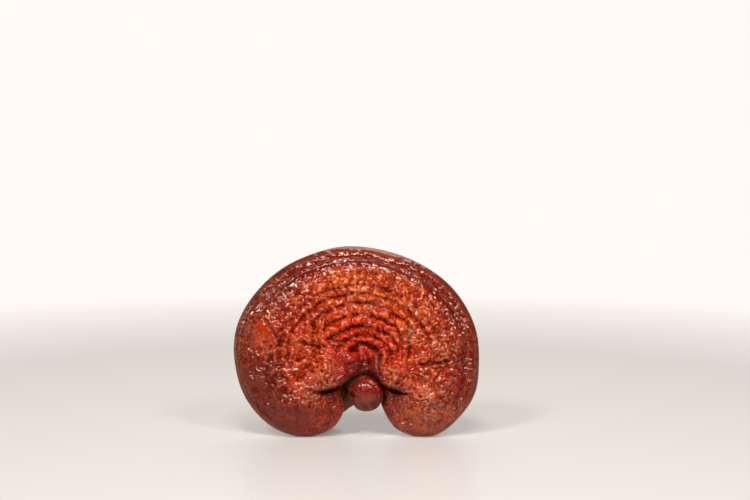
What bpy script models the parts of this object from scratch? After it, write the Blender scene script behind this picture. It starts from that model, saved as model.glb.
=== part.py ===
"""A reishi mushroom cut from its wood: a kidney-shaped cap and the short crooked stem that it leans on.

The cap stands on the rims of its two lobes and on the cut foot of the stem. Seen from the front, +X is
to the right, +Z is up, and the lacquered upper side of the cap looks towards -Y and a little upwards.
"""

import math

import bmesh
import bpy
import numpy as np
from mathutils import Matrix

MM = 0.001  # every length below is in millimetres, and the meshes are in metres

# The cap's outline seen from the front, from the top of the notch around the left lobe, as x and z.
RIM = (
    (4.5, 31.8), (-0.8, 31.3), (-4.6, 24.8), (-5.6, 14.7), (-13.6, 4.0), (-28.6, 0.0), (-46.3, 6.2),
    (-60.2, 22.7), (-65.5, 45.7), (-61.3, 65.0), (-47.3, 83.2), (-28.5, 94.9), (-3.5, 100.8), (25.9, 95.0),
    (49.5, 80.0), (62.9, 58.0), (64.7, 34.0), (60.4, 18.2), (46.8, 3.6), (34.0, 0.0), (20.6, 4.5),
    (13.1, 16.3), (12.5, 24.8), (9.2, 31.0),
)
LEAN = math.radians(14)  # how far the cap leans back
FACE_STRETCH = 1.011  # the outline's heights are seen a little shortened by the lean
LOBE_SPACING = 62.6  # between the places where the two lobes stand
WORN_FLAT = 0.4  # how far the lobes are worn down where they stand

# The growth lines run out from the middle to the rim. Below the top of the notch they are drawn in, by
# most at the foot of the lobes.
MIDDLE = (3.5, 42.5)
PULL = 44.0
PULL_TOP = 31.5
PULL_REACH = 66.0
PULL_POWER = 1.5

# The growth rings run around the throat, over the stem. On each side a slit parts the raised boss above
# from the lobe below, and ends at the point farthest from the throat.
THROAT = (3.5, 36.1)
LEFT_SLIT = ((-22.7, 22.2), (-16.9, 24.3), (-11.5, 27.0), (-6.2, 30.8), (-3.0, 32.6))
RIGHT_SLIT = ((11.0, 30.2), (14.2, 27.6), (17.9, 25.4), (23.3, 22.2), (28.1, 20.6))
SLIT_SLOPE = 0.86  # from height over a slit to distance from it
SLIT_WALL = 0.8  # half the width of the step from the boss down to the lobe
SLIT_FADE = (2, 9)  # a slit starts this far past its end, and is fully open this far before it
CREVICE_DEPTH = 3.0
CREVICE_WIDTH = 1.3
BOSS_TOP = 45.0  # the boss reaches the rim above this height, and beyond this distance from the throat
BOSS_SIDE = 30.0

# Heights of the upper side over the rim, and of the underside below it, from the throat out to the rim.
DOME = ((0, 3.0), (0.08, 8.5), (0.2, 12.0), (0.35, 12.0), (0.55, 9.8), (0.75, 7.2), (0.92, 3.6), (1, 1.2))
BELLY = ((0, -12.0), (0.12, -11.0), (0.24, -8.2), (0.4, -5.2), (0.6, -3.8), (0.85, -4.6), (1, -4.8))
BELLY_ROUND = (20, 40)  # the underside thickens evenly around the stem within these distances
EDGE_MIDDLE = -1.8  # height of the rim's outermost line
EDGE_LEAST = 0.6
EDGE_ROUND = 3.2

# The ledges between growth rings: where each ring lies from throat to rim, and the ledge that follows it.
GROWTH_RINGS = (0.0, 0.2, 0.285, 0.375, 0.47, 0.56, 0.66, 0.8, 0.9, 1.0)
LEDGE_HEIGHTS = (0.6, 2.2, 2.2, 2.2, 2.0, 1.6, 1.6, 1.3, 0.9)
LEDGE_SHARPNESS = 0.8
LEDGE_SINK = 0.6  # the share of a ledge's height that lies below the dome
LEDGE_WANDER = ((0.014, 13), (0.005, 6))  # how far the rings stray, and over what length
INNER_ZONE = ((0.02, 0.2), (0.6, 0.95))  # the rough zone comes up, and fades out, between these
INNER_LUMPS = ((0.7, 7), (0.4, 3.5))  # height and size of the lumps there
OUTER_LUMPS = (0.5, 14)
UNDER_LUMPS = (0.35, 12)
GOUGE_WIDTH = 1.5
GOUGES = (  # the points of each crease, and its depth
    ((33.4, 38.8), (46.0, 40.6), (60.0, 42.0), 1.4),
    ((-46.8, 63.9), (-43.0, 56.4), (-39.9, 49.5), 1.3),
    ((-20.0, 50.5), (-6.0, 52.6), (4.0, 47.5), 1.5),
    ((-38.0, 30.5), (-44.0, 29.0), (-52.0, 30.5), 0.9),
)
SWELLINGS = (  # x, z, radius and height of each
    (-19.0, 33.5, 8.0, 2.6), (22.5, 33.0, 8.0, 2.4), (-12.0, 42.0, 6.0, 1.8), (14.0, 43.0, 6.0, -1.2),
    (-49.0, 57.0, 8.0, 1.3), (47.0, 48.0, 8.0, 1.4), (-33.0, 13.0, 13.0, 2.4), (38.0, 13.0, 13.0, 2.4),
    (-1.5, 42.0, 4.0, 2.4), (2.0, 37.5, 4.0, 2.2), (12.0, 74.0, 16.0, 1.0),
)

CAP_COLUMNS = 104
UPPER_ROWS = 26
UNDER_ROWS = 14
NOTCH_CROWDING = (0.9, 18)  # how much closer the columns stand at the notch, and over what width
SLIT_CROWDING = (5, 1.6)  # the same for the rows at a slit, and in shares of a growth line at the rim
RIM_CROWDING = (4, 0.035)
UNDER_RIM_CROWDING = (5, 0.04)

# The stem from its blunt front end, seen in the notch, back and down to the cut foot: x, y, z and radius.
# The last point only sets the direction in which the stem is cut.
STEM = (
    (4.5, -4.2, 21.6, 0.0), (4.5, -3.2, 21.7, 4.6), (4.5, -0.4, 21.8, 7.2), (4.3, 4.2, 22.1, 8.3),
    (2.8, 10.8, 25.0, 9.3), (-1.6, 17.0, 24.8, 9.4), (-8.0, 22.0, 20.0, 9.0), (-14.8, 25.4, 13.0, 8.4),
    (-20.2, 27.6, 6.6, 8.1), (-23.0, 28.6, 2.4, 8.4), (-23.8, 28.8, 0.0, 8.9), (-24.0, 28.8, -2.0, 8.9),
)
STEM_COLUMNS = 28
STEM_ROWS = 22
FOOT_ROWS = 3  # of them, the ones on the flat cut
FOOT_CLEARANCE = 0.2  # the bark ends this far over the cut's plane
KNOB_HEIGHT = 0.05
KNOB_SIZE = 4
JOINT_GAP = 0.35  # between the stem and its socket in the cap

CAP_COLOUR = (0.40, 0.06, 0.025)
STEM_COLOUR = (0.17, 0.045, 0.028)
NOISE_CELLS = 61
NOISE_SHIFT = (20.3, 17.7)
CURVE_STEPS = 16  # points between neighbours of a smooth curve
RIM_STEPS = 400
LINE_STEPS = 200


def smooth_step(low, high, value):
    t = np.clip((value - low) / (high - low), 0, 1)
    return t * t * (3 - 2 * t)


def soft_noise(x, z, size, seed):
    """Smooth swellings between -1 and 1, about one every size millimetres."""
    table = np.random.default_rng(seed).uniform(-1, 1, (NOISE_CELLS, NOISE_CELLS))
    u, v = x / size + NOISE_SHIFT[0], z / size + NOISE_SHIFT[1]
    i, j = np.floor(u).astype(int), np.floor(v).astype(int)
    a, b = smooth_step(0, 1, u - i), smooth_step(0, 1, v - j)
    left, right = i % NOISE_CELLS, (i + 1) % NOISE_CELLS
    low, high = j % NOISE_CELLS, (j + 1) % NOISE_CELLS
    below = table[left, low] * (1 - a) + table[right, low] * a
    over = table[left, high] * (1 - a) + table[right, high] * a
    return below * (1 - b) + over * b


def through(points, closed=False):
    """A smooth curve through points of any dimension, with equal steps between neighbours."""
    points = np.asarray(points, float)
    count = len(points)
    curve = []
    for k in range(count if closed else count - 1):
        if closed:
            before, start, end, after = (points[(k + n) % count] for n in (-1, 0, 1, 2))
        else:
            before, start = points[max(k - 1, 0)], points[k]
            end, after = points[k + 1], points[min(k + 2, count - 1)]
        for step in range(CURVE_STEPS):
            t = step / CURVE_STEPS
            curve.append(
                start
                + 0.5 * t * (end - before)
                + t * t * (before - 2.5 * start + 2 * end - 0.5 * after)
                + 0.5 * t ** 3 * (3 * start - before - 3 * end + after)
            )
    if not closed:
        curve.append(points[-1])
    return np.array(curve)


def evenly(curve, count, weight=1):
    """count points of a closed curve, at equal steps of its length times the weight."""
    loop = np.vstack([curve, curve[:1]])
    steps = np.hypot(*np.diff(loop, axis=0).T) * weight
    travelled = np.concatenate([[0], np.cumsum(steps)])
    stops = np.arange(count) / count * travelled[-1]
    return np.stack([np.interp(stops, travelled, along) for along in loop.T], axis=1)


def distance_to(line, x, z):
    """The distance from each point to the nearest point of a dense line."""
    nearest = np.full(len(x), np.inf)
    for px, pz in line:
        nearest = np.minimum(nearest, (x - px) ** 2 + (z - pz) ** 2)
    return np.sqrt(nearest)


def above_slit(x, z):
    """How far a point lies above its side's slit, and how open the slit is there, from 0 to 1."""
    left, right = np.array(LEFT_SLIT), np.array(RIGHT_SLIT)
    on_left = x < THROAT[0]
    height = np.where(on_left, np.interp(x, *left.T), np.interp(x, *right.T))
    opening = np.where(
        on_left,
        smooth_step(left[0, 0] - SLIT_FADE[0], left[0, 0] + SLIT_FADE[1], x),
        1 - smooth_step(right[-1, 0] - SLIT_FADE[1], right[-1, 0] + SLIT_FADE[0], x),
    )
    return (z - height) * SLIT_SLOPE, opening


def growth(x, z, rim):
    """How far each point has grown, from 0 at the throat to 1 at the rim, and where it is to the slits.

    Growth reaches the lobes around the ends of the slits, so it steps where a slit parts boss and lobe.
    """
    over, opening = above_slit(x, z)
    straight = np.hypot(x - THROAT[0], z - THROAT[1])
    around = straight.copy()
    for corner, side in ((LEFT_SLIT[0], -1), (RIGHT_SLIT[-1], 1)):
        reach = math.hypot(corner[0] - THROAT[0], corner[1] - THROAT[1])
        turn = (x - THROAT[0]) * (corner[1] - THROAT[1]) - (z - THROAT[1]) * (corner[0] - THROAT[0])
        behind = (side * turn > 0) & (side * (x - THROAT[0]) > 0) & (over < 0)
        around[behind] = reach + np.hypot(x - corner[0], z - corner[1])[behind]
    to_rim = distance_to(rim, x, z)
    outer = (np.abs(rim[:, 0] - THROAT[0]) > BOSS_SIDE) | (rim[:, 1] > BOSS_TOP)
    to_outer = distance_to(rim[outer], x, z)
    lobe = around / (around + to_rim)
    boss = straight / (straight + to_rim + (to_outer - to_rim) * opening)
    return lobe + (boss - lobe) * smooth_step(-SLIT_WALL, SLIT_WALL, over), over, opening


def rounded(from_edge):
    """How far a rounded edge falls away at a distance from it: 1 at the edge, 0 past the rounding."""
    t = 1 - np.clip(from_edge / EDGE_ROUND, 0, 1)
    return 1 - np.sqrt(1 - t * t)


def upper_side(x, z, rim, from_edge):
    """Height of the lacquered side of the cap over its plane."""
    grown, over, opening = growth(x, z, rim)
    height = np.interp(grown, *np.array(DOME).T)
    wavy = grown.copy()
    for seed, (stray, size) in enumerate(LEDGE_WANDER):
        wavy += stray * soft_noise(x, z, size, 3 + seed)
    zone = np.clip(np.searchsorted(GROWTH_RINGS, wavy, side="right") - 1, 0, len(LEDGE_HEIGHTS) - 1)
    start, end = np.take(GROWTH_RINGS, zone), np.take(GROWTH_RINGS, zone + 1)
    along = np.clip((wavy - start) / (end - start), 0, 1)
    height += np.take(LEDGE_HEIGHTS, zone) * (np.sin(math.pi * along) ** LEDGE_SHARPNESS - LEDGE_SINK)
    inner = smooth_step(*INNER_ZONE[0], grown) * (1 - smooth_step(*INNER_ZONE[1], grown))
    for seed, (rise, size) in enumerate(INNER_LUMPS):
        height += inner * rise * soft_noise(x, z, size, 5 + seed)
    height += (1 - inner) * OUTER_LUMPS[0] * soft_noise(x, z, OUTER_LUMPS[1], 7)
    for swell_x, swell_z, radius, rise in SWELLINGS:
        height += rise * np.exp(-((x - swell_x) ** 2 + (z - swell_z) ** 2) / radius ** 2)
    for *line, depth in GOUGES:
        height -= depth * np.exp(-(distance_to(through(line), x, z) / GOUGE_WIDTH) ** 2)
    height -= CREVICE_DEPTH * opening * np.exp(-((over + SLIT_WALL / 2) / CREVICE_WIDTH) ** 2)
    height = np.maximum(height, EDGE_MIDDLE + EDGE_LEAST)
    return height - (height - EDGE_MIDDLE) * rounded(from_edge)


def under_side(x, z, rim, from_edge):
    """Height of the pore side of the cap over its plane."""
    straight = np.hypot(x - THROAT[0], z - THROAT[1])
    near_stem = straight / (straight + distance_to(rim, x, z))
    grown = near_stem + (growth(x, z, rim)[0] - near_stem) * smooth_step(*BELLY_ROUND, straight)
    height = np.interp(grown, *np.array(BELLY).T) + UNDER_LUMPS[0] * soft_noise(x, z, UNDER_LUMPS[1], 8)
    return height - (height - EDGE_MIDDLE) * rounded(from_edge)


def ball(columns, rows):
    """A ball of quads with a pole at each end, and the row and column of each of its corners."""
    mesh = bmesh.new()
    bmesh.ops.create_uvsphere(mesh, u_segments=columns, v_segments=rows, radius=1.0)
    corners = np.array([corner.co for corner in mesh.verts])
    row = np.rint(np.arccos(np.clip(corners[:, 2], -1, 1)) / math.pi * rows).astype(int)
    turn = np.arctan2(corners[:, 1], corners[:, 0]) / math.tau
    return mesh, row, np.rint(turn * columns).astype(int) % columns


def place(mesh, x, y, z):
    """Moves the corners of a mesh to places in millimetres."""
    for corner, spot in zip(mesh.verts, np.stack([x, y, z], axis=1) * MM):
        corner.co = spot


def crowded(rows, crowd):
    """Shares of the way along each growth line for its rows, closer together where crowd is high."""
    fine = np.linspace(0, 1, crowd.shape[1])
    travelled = np.cumsum(crowd, axis=1)
    travelled = (travelled - travelled[:, :1]) / (travelled[:, -1:] - travelled[:, :1])
    stops = np.linspace(0, 1, rows + 1)
    return np.array([np.interp(stops, line, fine) for line in travelled])


def drawn_in(z):
    """How far the growth lines are drawn in at a height."""
    return PULL * np.clip((PULL_TOP - z) / PULL_TOP, 0, 1) ** PULL_POWER


def along_line(ends, share):
    """x and z at a share of the way along the growth lines that end at the given rim points.

    The lines are straight from the middle when the lobes are spread apart, and are then drawn in.
    """
    side = np.sign(ends[:, 0] - MIDDLE[0])
    pull = drawn_in(ends[:, 1])
    spread = (np.abs(ends[:, 0] - MIDDLE[0]) + pull) / (1 + pull / PULL_REACH)
    z = MIDDLE[1] + share * (ends[:, 1] - MIDDLE[1])
    pull = drawn_in(z)
    return MIDDLE[0] + side * (share * spread * (1 + pull / PULL_REACH) - pull * (share > 0)), z


def grow_cap():
    """The cap, a ball flattened between its upper side and its pore side, with its middle at the poles."""
    rim = through([(x, z * FACE_STRETCH) for x, z in RIM], closed=True)
    extra, width = NOTCH_CROWDING
    near_notch = np.exp(-((rim[:, 0] - THROAT[0]) / width) ** 2) * (rim[:, 1] < BOSS_TOP)
    ends = evenly(rim, CAP_COLUMNS, 1 + extra * near_notch)
    rim = evenly(rim, RIM_STEPS)

    fine = np.linspace(0, 1, LINE_STEPS)
    crowd = np.ones((CAP_COLUMNS, LINE_STEPS))
    for k in range(CAP_COLUMNS):
        over, opening = above_slit(*along_line(ends[k:k + 1], fine))
        crowd[k] += SLIT_CROWDING[0] * opening * np.exp(-(over / SLIT_CROWDING[1]) ** 2)
        crowd[k] += RIM_CROWDING[0] * np.exp(-((1 - fine) / RIM_CROWDING[1]) ** 2)
    upper = crowded(UPPER_ROWS, crowd)
    at_rim = 1 + UNDER_RIM_CROWDING[0] * np.exp(-((1 - fine) / UNDER_RIM_CROWDING[1]) ** 2)
    under = crowded(UNDER_ROWS, at_rim[None])[0]

    mesh, row, column = ball(CAP_COLUMNS, UPPER_ROWS + UNDER_ROWS)
    column = -column % CAP_COLUMNS
    on_top = row <= UPPER_ROWS
    share = np.where(
        on_top,
        upper[column, np.minimum(row, UPPER_ROWS)],
        under[np.minimum(UPPER_ROWS + UNDER_ROWS - row, UNDER_ROWS)],
    )
    x, z = along_line(ends[column], share)
    from_edge = distance_to(rim, x, z) * (row != UPPER_ROWS)
    height = np.where(on_top, upper_side(x, z, rim, from_edge), under_side(x, z, rim, from_edge))
    y = z * math.sin(LEAN) - height * math.cos(LEAN)
    z = z * math.cos(LEAN) + height * math.sin(LEAN)

    level = (z[x > 0].min() - z[x < 0].min()) / LOBE_SPACING
    z = z - level * x
    place(mesh, x, y, np.maximum(z - z.min() - WORN_FLAT, 0))
    return mesh


def grow_stem():
    """The stem, a ball drawn out along its crooked path, with a flat cut at the foot."""
    path = through(STEM)
    path = path[path[:, 2] >= 0]
    travelled = np.concatenate([[0], np.cumsum(np.linalg.norm(np.diff(path, axis=0), axis=1))])
    last = STEM_ROWS - FOOT_ROWS
    stops = np.linspace(0, travelled[-1], last + 1)
    rings = np.stack([np.interp(stops, travelled, along) for along in path.T], axis=1)
    ahead = np.gradient(rings[:, :3], axis=0)
    ahead[-1] = (0, 0, -1)
    ahead /= np.linalg.norm(ahead, axis=1)[:, None]
    ups = np.zeros_like(ahead)
    up = np.array((0.0, 0.0, 1.0))
    for k, heading in enumerate(ahead):
        up = up - heading * (up @ heading)
        up /= np.linalg.norm(up)
        ups[k] = up
    sides = np.cross(ups, ahead)

    mesh, row, column = ball(STEM_COLUMNS, STEM_ROWS)
    ring = np.minimum(row, last)
    angle = math.tau * column / STEM_COLUMNS
    radius = rings[ring, 3] * np.clip((STEM_ROWS - row) / FOOT_ROWS, 0, 1)
    knobs = soft_noise(radius * np.cos(angle) + ring, radius * np.sin(angle), KNOB_SIZE, 9)
    radius *= 1 + KNOB_HEIGHT * knobs
    outward = np.cos(angle)[:, None] * ups[ring] + np.sin(angle)[:, None] * sides[ring]
    x, y, z = (rings[ring, :3] + radius[:, None] * outward).T
    place(mesh, x, y, np.where(row >= last, 0, np.maximum(z, FOOT_CLEARANCE)))
    return mesh


def finish(name, colour, roughness):
    """A lacquered crust of one colour."""
    material = bpy.data.materials.new(name)
    material.use_nodes = True
    shader = material.node_tree.nodes["Principled BSDF"]
    shader.inputs["Base Color"].default_value = (*colour, 1)
    shader.inputs["Roughness"].default_value = roughness
    shader.inputs["Metallic"].default_value = 0
    shader.inputs["Coat Weight"].default_value = 0.6
    return material


def add_piece(name, mesh, collection, material=None):
    """Turns a mesh under construction into a named object of a collection."""
    data = bpy.data.meshes.new(name)
    mesh.to_mesh(data)
    mesh.free()
    data.shade_smooth()
    piece = bpy.data.objects.new(name, data)
    if material:
        data.materials.append(material)
    collection.objects.link(piece)
    return piece


def main():
    for thing in list(bpy.data.objects):
        bpy.data.objects.remove(thing, do_unlink=True)
    mushroom = bpy.data.collections.new("reishi mushroom")
    cutters = bpy.data.collections.new("cutters")
    bpy.context.scene.collection.children.link(mushroom)
    bpy.context.scene.collection.children.link(cutters)

    cap = add_piece("cap", grow_cap(), mushroom, finish("cap crust", CAP_COLOUR, 0.3))
    stem = add_piece("stem", grow_stem(), mushroom, finish("stem crust", STEM_COLOUR, 0.4))

    wider = grow_stem()
    wider.normal_update()
    for corner in wider.verts:
        corner.co += corner.normal * JOINT_GAP * MM
    socket = add_piece("socket", wider, cutters)
    socket.hide_render = True
    socket.display_type = "WIRE"
    cut = cap.modifiers.new("socket for the stem", "BOOLEAN")
    cut.operation = "DIFFERENCE"
    cut.object = socket

    corners = np.array([corner.co for piece in (cap, stem) for corner in piece.data.vertices])
    middle = (corners.min(axis=0) + corners.max(axis=0)) / 2
    to_origin = Matrix.Translation((-middle[0], -middle[1], 0))
    for piece in (cap, stem, socket):
        piece.data.transform(to_origin)


main()
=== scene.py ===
"""The looks of a dried, lacquered reishi mushroom: a kidney-shaped cap leaning on its short crooked stem."""

import math

import bpy
import numpy as np
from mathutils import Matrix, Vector, noise


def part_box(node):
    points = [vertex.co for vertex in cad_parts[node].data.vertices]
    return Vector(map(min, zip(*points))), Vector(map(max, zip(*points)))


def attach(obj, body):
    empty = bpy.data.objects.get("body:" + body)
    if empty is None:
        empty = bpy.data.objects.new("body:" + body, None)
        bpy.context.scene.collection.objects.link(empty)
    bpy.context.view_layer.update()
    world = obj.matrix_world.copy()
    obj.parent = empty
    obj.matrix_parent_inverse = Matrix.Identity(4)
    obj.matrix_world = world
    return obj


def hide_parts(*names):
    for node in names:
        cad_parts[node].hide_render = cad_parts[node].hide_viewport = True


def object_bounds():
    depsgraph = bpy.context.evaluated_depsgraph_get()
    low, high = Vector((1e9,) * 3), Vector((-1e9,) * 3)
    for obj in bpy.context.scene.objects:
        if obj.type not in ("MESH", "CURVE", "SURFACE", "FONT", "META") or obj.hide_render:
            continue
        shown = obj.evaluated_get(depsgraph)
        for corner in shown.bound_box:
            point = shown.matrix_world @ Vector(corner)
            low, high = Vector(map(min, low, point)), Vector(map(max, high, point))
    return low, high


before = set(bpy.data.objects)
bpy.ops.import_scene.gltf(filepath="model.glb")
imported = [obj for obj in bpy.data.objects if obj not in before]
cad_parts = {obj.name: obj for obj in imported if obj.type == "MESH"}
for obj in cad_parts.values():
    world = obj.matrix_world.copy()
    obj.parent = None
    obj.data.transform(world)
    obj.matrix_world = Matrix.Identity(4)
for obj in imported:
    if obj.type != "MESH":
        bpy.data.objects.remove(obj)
cad_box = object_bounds()
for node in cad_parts.values():
    node.select_set(False)


# The cap is one tough, corky body. Its outline is a kidney around a notch, and it grew outwards from the
# throat over the stem in rings, each a ledge that dried to a wrinkled, lacquer-like crust. It stands on
# the rims of its two lobes and leans back. Lengths are in millimetres, seen square to the cap's plane.

MM = 0.001
RIM = (
    (4.5, 31.9), (-0.6, 31.8), (-4.6, 29.4), (-8.2, 26.4), (-8.8, 22.8), (-7.4, 18.2), (-6.8, 13.4),
    (-13.6, 4.0), (-28.6, 0.0), (-46.3, 6.2),
    (-60.2, 22.7), (-65.5, 45.7), (-61.3, 65.0), (-47.3, 83.2), (-28.5, 94.9), (-3.5, 100.8), (25.9, 95.0),
    (49.5, 80.0), (62.9, 58.0), (64.7, 34.0), (60.4, 18.2), (46.8, 3.6), (34.0, 0.0), (20.6, 4.5),
    (13.2, 16.3), (13.6, 21.6), (12.6, 26.0), (9.4, 31.0),
)
LEAN = math.radians(14)  # how far the cap leans back
FACE_STRETCH = 1.011  # the outline's heights are seen a little shortened by the lean
LOBE_SPACING = 62.6  # between the places where the two lobes stand
WORN_FLAT = 0.4  # how far the lobes are worn down where they stand

# The growth lines run out from the middle to the rim. Below the top of the notch they are drawn in, by
# most at the foot of the lobes.
MIDDLE = (3.5, 42.5)
PULL, PULL_TOP, PULL_REACH, PULL_POWER = 44.0, 31.5, 66.0, 1.5

# The growth rings run around the throat, over the stem. On each side a slit parts the raised boss above
# from the lobe below, and ends at the point farthest from the throat.
THROAT = (3.5, 36.1)
STEM_MIDDLE = 4.6  # x of the stem's front end
STEM_BEHIND = (-1.5, 30.1)  # where the stem leaves the pore side
SLIT_SLOPE = 0.86  # from height over a slit to distance from it
SLIT_WALL = 0.8  # half the width of the step from the boss down to the lobe
SLIT_FADE = (2, 9)  # a slit starts this far past its end, and is fully open this far before it
CREVICE_DEPTH, CREVICE_WIDTH = 2.2, 0.7
LEFT_SLIT = ((-23.5, 23.0), (-17.0, 23.9), (-11.5, 25.2), (-8.0, 26.9), (-4.2, 29.8))
RIGHT_SLIT = ((10.6, 29.6), (13.4, 26.9), (18.6, 24.8), (23.4, 23.1), (28.1, 21.4))
BOSS_TOP, BOSS_SIDE = 45.0, 30.0  # the boss reaches the rim above this height, and this far to either side

# Heights of the upper side over the rim, and of the pore side below it, from the throat out to the rim.
DOME = ((0, 3.0), (0.08, 8.5), (0.2, 12.0), (0.35, 12.0), (0.55, 9.8), (0.75, 7.2), (0.92, 3.6), (1, 1.2))
BELLY = ((0, -12.0), (0.12, -11.0), (0.24, -8.2), (0.4, -5.2), (0.6, -3.8), (0.85, -4.6), (1, -4.8))
BELLY_ROUND = (20, 40)  # the pore side thickens evenly around the stem within these distances
EDGE_MIDDLE, EDGE_LEAST, EDGE_ROUND = -1.8, 0.6, 3.2  # the rim's outermost line, and its rounding

# The bands between growth rings: where each ring lies from throat to rim, how deep its groove is, and how
# far the band that follows it bulges.
GROWTH_RINGS = (0.0, 0.18, 0.25, 0.33, 0.42, 0.51, 0.59, 0.66, 0.77, 0.87, 1.0)
GROOVE_DEPTHS = (0.3, 1.2, 1.5, 1.6, 1.6, 1.5, 1.3, 0.9, 0.4, 0.4, 0.3)
BAND_BULGES = (0.6, 1.4, 1.3, 1.1, 0.8, 0.8, 0.6, 0.4, 0.5, 0.5, 0.3)
GROOVE_WIDTH = 1.5
WHOLE_WAY = 60  # from throat to rim, about, for the width of what runs across the bands
PLEAT, SMALL_PLEAT, RIM_PLEAT = 3.4, 1.5, 2.2  # widths
CRUMPLE, SMALL_CRUMPLE, FINE_CRUMPLE, DENT, LUMP = 5.5, 3.0, 1.7, 3.4, 2.4  # sizes
RIM_LINE = 1.2  # from one fine line along the rim to the next
GOUGES = (  # the points of each crease, its depth and its width
    ((34.0, 37.6), (39.0, 38.6), (44.0, 38.4), (50.0, 39.8), (56.5, 40.6), 1.5, 0.8),
    ((-47.8, 62.0), (-43.6, 54.6), (-40.4, 47.8), 1.5, 0.8),
    ((-38.8, 49.7), (-28.0, 48.2), (-16.9, 46.0), 1.2, 0.7),
    ((-42.5, 30.2), (-39.0, 30.7), (-35.0, 30.0), 0.8, 0.45),
    ((-15.2, 53.6), (-8.8, 55.2), (0.8, 55.4), (6.0, 54.4), (12.0, 52.6), 0.8, 0.7),
    ((-15.8, 46.8), (-10.0, 49.2), (-3.0, 49.8), (3.0, 49.2), (8.0, 46.6), (13.0, 42.6), 1.2, 0.8),
    ((-12.0, 47.0), (-4.0, 45.4), (1.0, 44.8), 0.9, 0.7),
    ((-6.5, 45.0), (-5.6, 41.5), (-5.2, 37.5), (-5.6, 33.5), 0.9, 0.6),
    ((5.6, 43.5), (6.0, 39.0), (6.8, 34.0), (7.6, 31.0), 1.2, 0.7),
    ((12.0, 42.0), (12.2, 37.0), (13.0, 31.5), 0.9, 0.7),
)
SWELLINGS = (  # x, z, radius and height of each
    (-19.0, 33.5, 8.0, 2.2), (22.5, 33.0, 8.0, 2.2), (-12.0, 42.0, 6.0, 1.2), (14.0, 43.0, 6.0, -1.0),
    (-49.0, 57.0, 8.0, 1.3), (47.0, 48.0, 8.0, 1.4), (-33.0, 13.0, 13.0, 2.2), (38.0, 13.0, 13.0, 2.2),
    (12.0, 74.0, 16.0, 1.0),
)
BLOCKS = (  # x, z, half width, half height, turn in degrees, height and darkness of each smooth lump
    (-3.0, 40.8, 4.0, 2.8, 10, 3.2, 0.0), (2.6, 36.4, 3.7, 2.2, -14, 2.8, 1.0),
    (0.4, 33.0, 3.4, 1.1, 6, 2.2, 0.3), (9.8, 36.2, 2.5, 6.8, -8, 3.0, 1.0),
    (-49.5, 57.0, 5.5, 8.5, 28, 1.0, 0.0),
)
BLOCK_EDGE = 1.15  # where a lump ends, in shares of its half width or height
WIDEST_PARTED = 5  # lumps less wide than this lie in the throat, each parted from the next by a seam of painted shade
RED_FACE = (-9.0, 35.8, 4.0, 5.0)  # x, z, width and height of the flat place left of the throat
LEAF = (-49.5, 54.0, 8.0, 11.0)  # the same for the orange lump at the left
RIGHT_FACE = (51.0, 62.0, 7.0, 9.0)  # and for the dark flat place at the right
RUFFLES = (  # x, z, radius and amount of each patch where the crust is most crumpled
    (-49.0, 47.0, 8.0, 1.0), (-43.0, 71.0, 11.0, 1.0), (43.0, 69.0, 8.0, 0.7), (52.0, 48.0, 8.0, 0.9),
    (-10.0, 80.0, 12.0, 0.5), (-20.0, 32.0, 8.0, 0.5), (20.0, 33.0, 8.0, 0.5),
)
PALE_DUST_AND_GLINTS = (  # x, z, size and amount of each place of pale flecks, partly dust showing through the lacquer and partly painted highlight
    (-16.3, 33.3, 4.5, 1.0), (17.4, 32.7, 4.5, 1.0), (-0.8, 75.5, 3.5, 0.8), (6.7, 68.4, 3.0, 0.8),
    (28.1, 54.4, 4.5, 0.8), (46.0, 46.0, 8.0, 0.8), (39.0, 18.0, 10.0, 0.65), (-25.0, 20.0, 4.5, 0.6),
    (-49.0, 50.0, 6.0, 0.35), (-43.0, 77.0, 9.0, 0.3), (-58.0, 62.0, 8.0, 0.35),
    (-61.0, 48.0, 6.0, 0.35), (52.0, 62.0, 8.0, 0.1),
)
CAP_COLUMNS, UPPER_ROWS, UNDER_ROWS = 600, 116, 44
RIM_POINTS, LINE_STEPS = 700, 300
NOTCH_CROWDING = (0.7, 18)  # how much closer the columns stand at the notch, and over what width
SLIT_CROWDING = (3, 1.8)  # the same for the rows at a slit, and in shares of a growth line at the rim
RIM_CROWDING = (1.6, 0.04)
UNDER_RIM_CROWDING = (4, 0.05)


def smooth_step(low, high, value):
    """0 up to low, 1 from high on, and a smooth rise between."""
    t = np.clip((value - low) / (high - low), 0, 1)
    return t * t * (3 - 2 * t)


def spot(x, z, middle_x, middle_z, wide, high):
    """1 at a place, falling to 0 at about twice its width and height."""
    return np.exp(-((x - middle_x) / wide) ** 2 - ((z - middle_z) / high) ** 2)


def swell(x, z, size, layer):
    """Smooth rises and dips between -1 and 1, about one every size millimetres, the same on each run."""
    spots = zip(x / size, z / size)
    return np.array([noise.noise(Vector((a, b, 5.37 * layer))) for a, b in spots]) * 1.5


def seams(x, z, size, layer):
    """How far each point is from the seams between small plates, in shares of a plate."""
    found = []
    for a, b in zip(x / size, z / size):
        near = noise.voronoi(Vector((a, b, 5.37 * layer)))[0]
        found.append(near[1] - near[0])
    return np.array(found)


def through(points, steps=16, closed=False):
    """A smooth curve through points, with equal steps between neighbours."""
    points = np.asarray(points, float)
    count = len(points)
    curve = []
    for k in range(count if closed else count - 1):
        if closed:
            before, start, end, after = (points[(k + n) % count] for n in (-1, 0, 1, 2))
        else:
            before, start = points[max(k - 1, 0)], points[k]
            end, after = points[k + 1], points[min(k + 2, count - 1)]
        for step in range(steps):
            t = step / steps
            curve.append(
                start
                + 0.5 * t * (end - before)
                + t * t * (before - 2.5 * start + 2 * end - 0.5 * after)
                + 0.5 * t ** 3 * (3 * start - before - 3 * end + after)
            )
    if not closed:
        curve.append(points[-1])
    return np.array(curve)


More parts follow.
